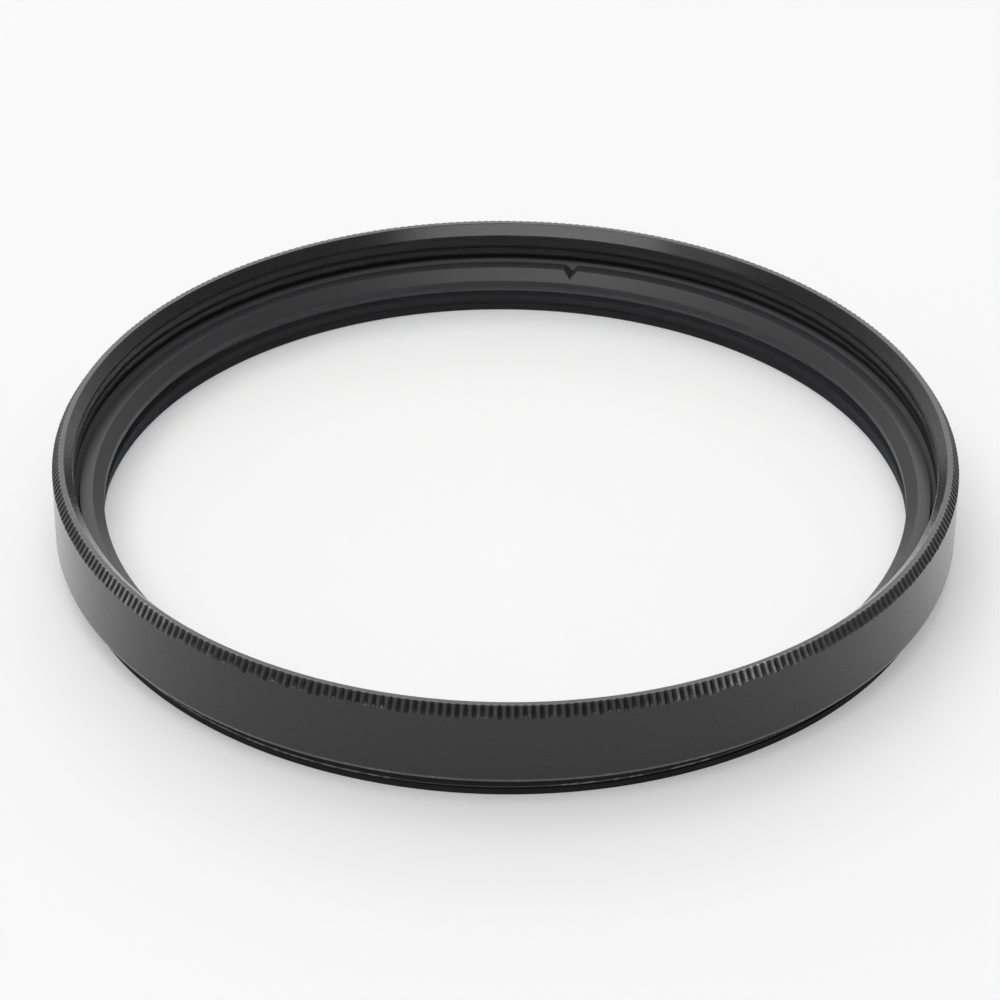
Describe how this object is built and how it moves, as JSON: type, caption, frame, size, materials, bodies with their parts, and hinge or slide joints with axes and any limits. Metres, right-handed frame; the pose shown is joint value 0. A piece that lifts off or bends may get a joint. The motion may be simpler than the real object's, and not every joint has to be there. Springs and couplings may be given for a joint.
{
  "type": "screw-in lens filter",
  "caption": "Round screw-in lens filter: knurled black ring with an inside thread in front and an outside thread behind, clear glass held by a notched retaining ring.",
  "frame": {"origin": "on the optical axis, on the rear face that the filter stands on", "axes": "+Z along the optical axis, forward, away from the lens; the two spanner notches lie near +Y and -Y"},
  "size_m": [0.06, 0.06, 0.0072],
  "materials": {
    "anodised_aluminium": "satin black anodised",
    "coated_glass": "clear, polished and coated",
    "retainer_aluminium": "matt black anodised"
  },
  "bodies": {
    "root": {"filter_ring": "anodised_aluminium", "filter_glass": "coated_glass", "retaining_ring": "retainer_aluminium"}
  },
  "joints": []
}
